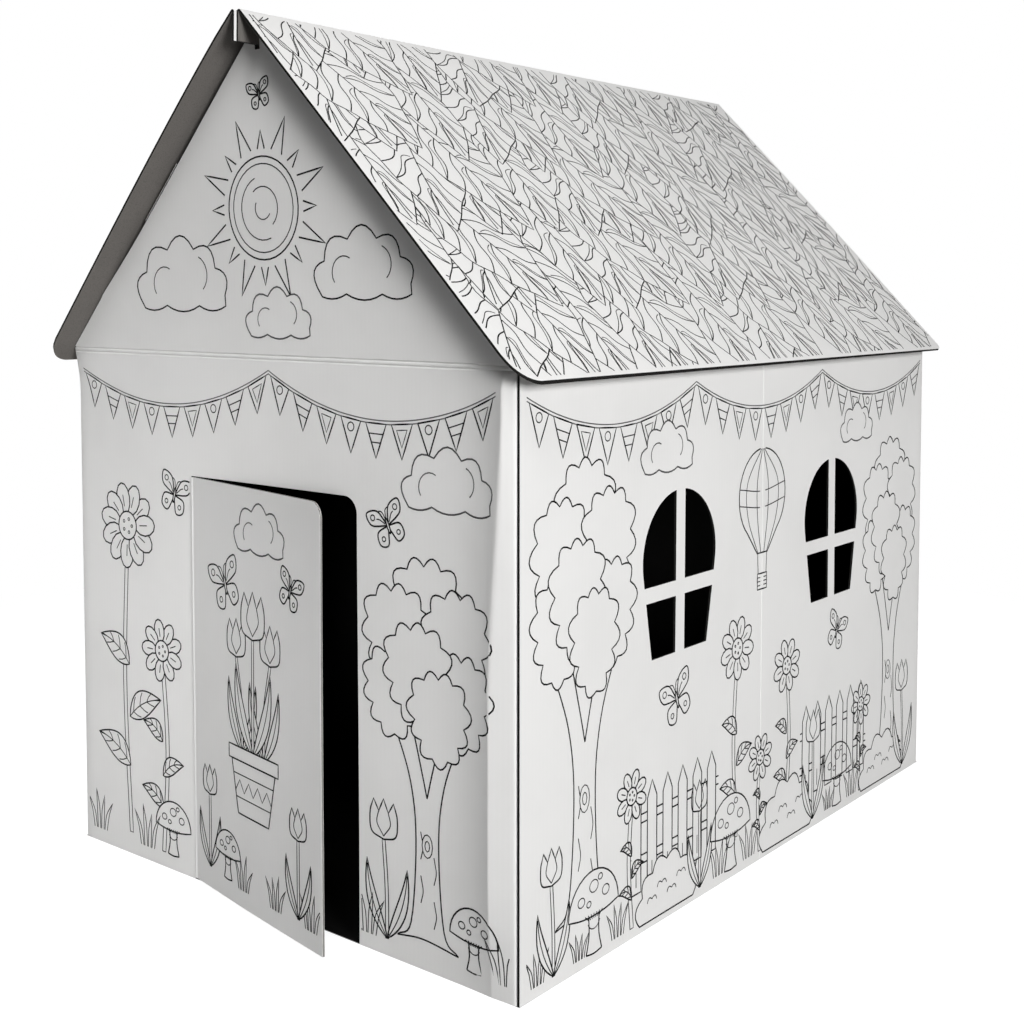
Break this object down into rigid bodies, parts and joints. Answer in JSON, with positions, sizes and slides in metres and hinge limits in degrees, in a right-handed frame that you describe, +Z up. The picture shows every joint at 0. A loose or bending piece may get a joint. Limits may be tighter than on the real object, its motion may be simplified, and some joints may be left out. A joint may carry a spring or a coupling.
{
  "type": "cardboard playhouse",
  "caption": "White corrugated-board playhouse with a steep gable roof, two arched cut-out windows in the right wall and a hinged door flap standing ajar in the front gable wall.",
  "frame": {"origin": "on the floor, under the middle of the whole object with the door ajar as stored", "axes": "+Z up, -Y out of the front gable wall with the door, +X to the right as seen from the front"},
  "size_m": [0.836, 1.095, 1.0926],
  "materials": {
    "wall_board": "white coated, matte",
    "roof_board": "white coated, matte",
    "print_ink": "matte black line print"
  },
  "bodies": {
    "house": {"front_left_walls": "wall_board", "right_back_walls": "wall_board", "left_roof": "roof_board", "right_roof": "roof_board"},
    "door": {"door": "wall_board"}
  },
  "joints": [
    {"name": "door_hinge", "type": "hinge", "parent": "house", "child": "door", "pos_m": [-0.15, -0.49353, 0], "axis": [0, 0, -1], "range_deg": [-10.4, 139.6]}
  ]
}
